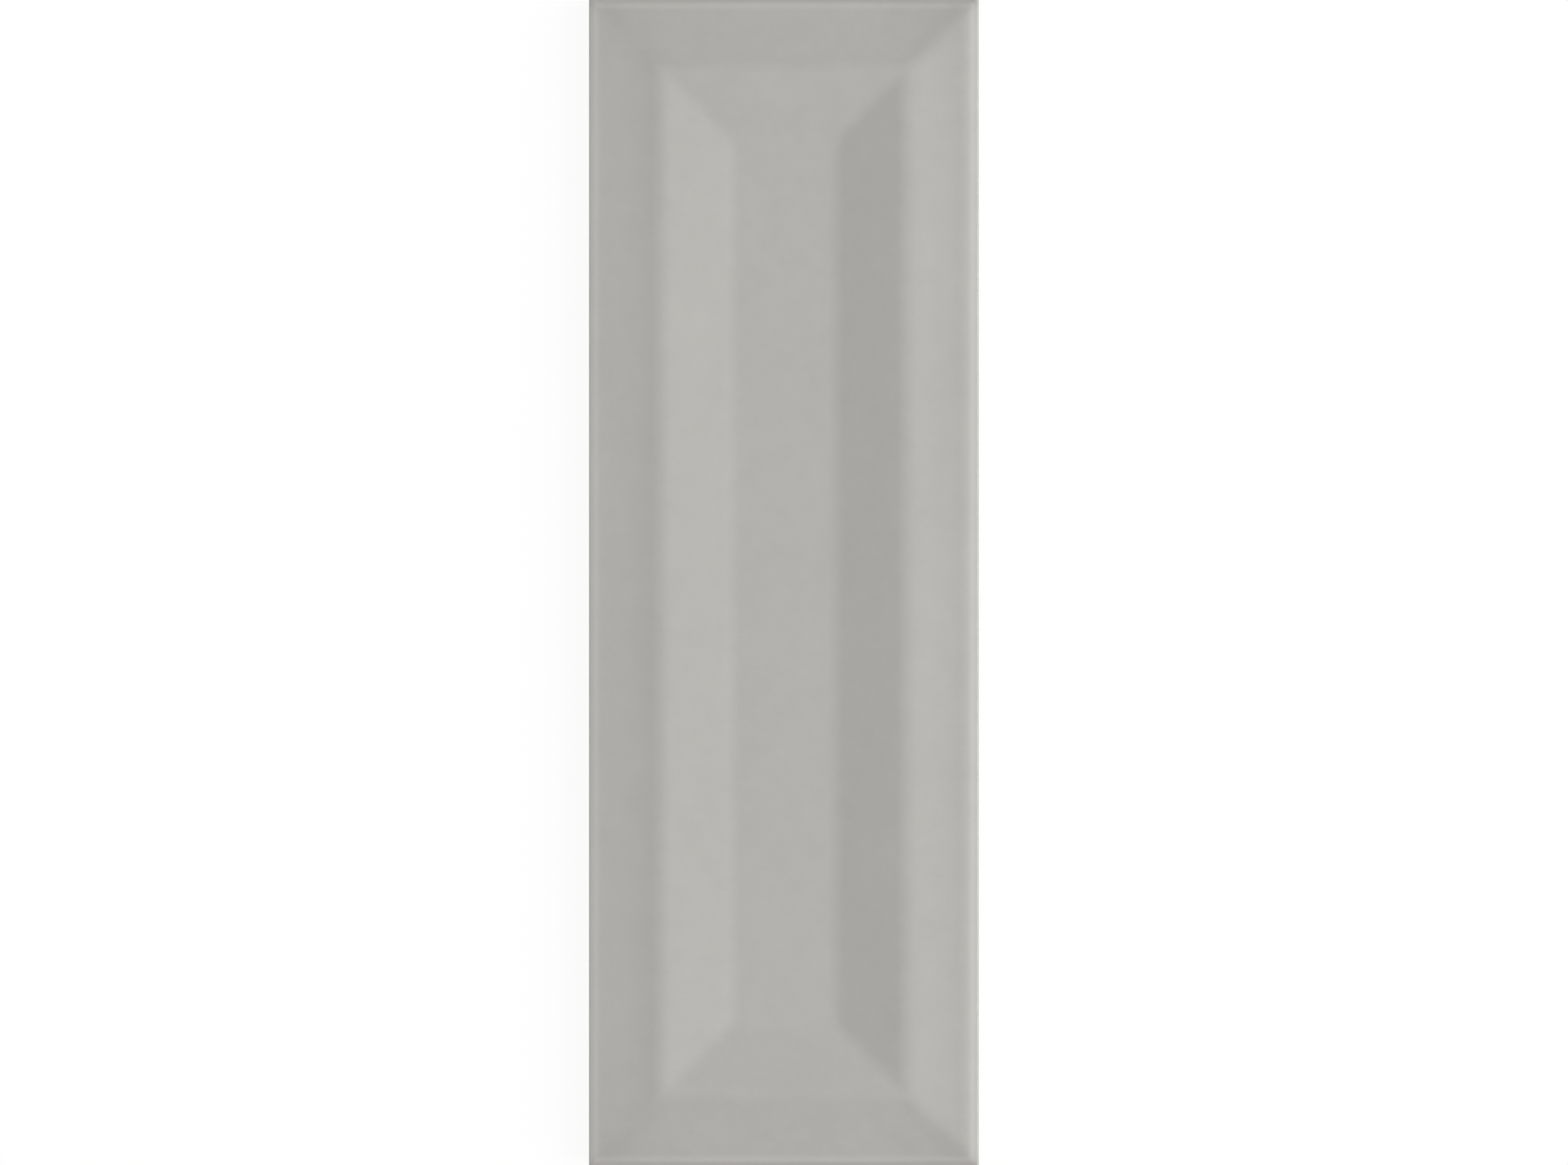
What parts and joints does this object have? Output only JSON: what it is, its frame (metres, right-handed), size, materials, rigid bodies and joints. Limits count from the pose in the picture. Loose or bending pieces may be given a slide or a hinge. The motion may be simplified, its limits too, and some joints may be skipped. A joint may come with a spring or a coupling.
{
  "type": "wall tile",
  "caption": "Rectangular glazed ceramic wall tile with a framed relief face: a ridge runs round a flat sunken panel, with mitred slopes, a rounded rim and a keyed back for adhesive.",
  "frame": {"origin": "centre of the back, on the plane of the keying ribs that meets the wall or floor", "axes": "+Z out of the glazed face, +Y along the length of the tile, +X across its width"},
  "size_m": [0.1, 0.3, 0.009],
  "materials": {
    "glaze": "satin-gloss grey glaze on the face and rim, bare pale biscuit on the sides and back"
  },
  "bodies": {
    "root": {"wall_tile": "glaze"}
  },
  "joints": []
}
